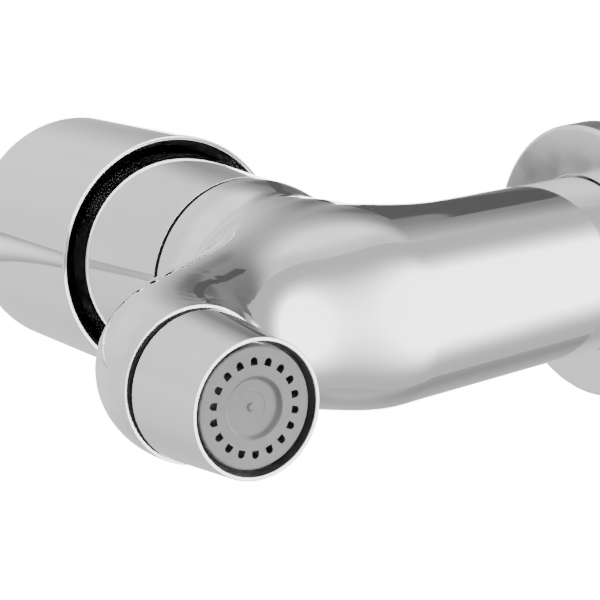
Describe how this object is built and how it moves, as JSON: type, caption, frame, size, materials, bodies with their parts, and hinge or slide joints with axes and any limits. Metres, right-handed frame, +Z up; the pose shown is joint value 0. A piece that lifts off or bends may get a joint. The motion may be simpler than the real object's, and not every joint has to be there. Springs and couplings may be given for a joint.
{
  "type": "wall mixer tap",
  "caption": "Chrome wall-mounted mixer tap with a tall cylindrical handle cap, a fat smooth body, a short drooping spout and a perforated outlet insert.",
  "frame": {"origin": "centre of the wall flange's back face, on the axis of the arm, where the tap meets the wall", "axes": "+Y into the wall, +Z up, so the spout reaches towards -Y and the handle is on top; +X is to the user's right"},
  "size_m": [0.0664, 0.2719, 0.2117],
  "materials": {
    "chrome": "mirror-polished chrome plate",
    "brass": "machined, slightly dull",
    "plated_steel": "zinc plated",
    "copper": "drawn copper tube, slightly oxidised",
    "black_rubber": "moulded, matt",
    "white_plastic": "moulded acetal",
    "ceramic_disc": "lapped alumina",
    "red_plastic": "moulded, glossy",
    "grey_plastic": "moulded, satin"
  },
  "bodies": {
    "tap_body": {"body_casting": "chrome", "wall_flange": "chrome", "flange_seal": "black_rubber", "threaded_shank": "brass", "rubber_washer": "black_rubber", "backing_washer": "plated_steel", "mounting_nut": "brass", "hot_feed_tube": "copper", "cold_feed_tube": "copper", "hot_union_nut": "brass", "cold_union_nut": "brass", "dome_collar": "chrome", "cartridge_base": "white_plastic", "hot_port_seal": "black_rubber", "cold_port_seal": "black_rubber", "mixed_port_seal": "black_rubber", "cartridge_housing": "white_plastic", "fixed_ceramic_disc": "ceramic_disc", "temperature_limit_ring": "red_plastic", "outlet_sleeve": "chrome", "outlet_gasket": "black_rubber", "strainer": "white_plastic", "aerator_cage": "white_plastic", "flow_regulator": "black_rubber", "aerator_face": "grey_plastic"},
    "turret": {"turret": "white_plastic", "pivot_pin": "plated_steel"},
    "handle": {"handle_cap": "chrome", "handle_insert": "brass", "handle_screw": "plated_steel", "lever": "chrome", "index_button": "red_plastic", "stem": "brass"},
    "disc_carriage": {"disc_driver": "white_plastic", "moving_ceramic_disc": "ceramic_disc"}
  },
  "joints": [
    {"name": "handle_turn", "type": "hinge", "parent": "tap_body", "child": "turret", "pos_m": [0, -0.072, 0.088], "axis": [0, 0, 1], "range_deg": [-45, 45]},
    {"name": "handle_tilt", "type": "hinge", "parent": "turret", "child": "handle", "pos_m": [0, -0.072, 0.088], "axis": [-1, 0, 0], "range_deg": [0, 18]},
    {"name": "disc_slide", "type": "slide", "parent": "turret", "child": "disc_carriage", "axis": [0, -1, 0], "range_m": [0, 0.0039]}
  ],
  "couplings": [
    {"joint": "disc_slide", "follows": "handle_tilt", "m_per_rad": 0.012}
  ]
}
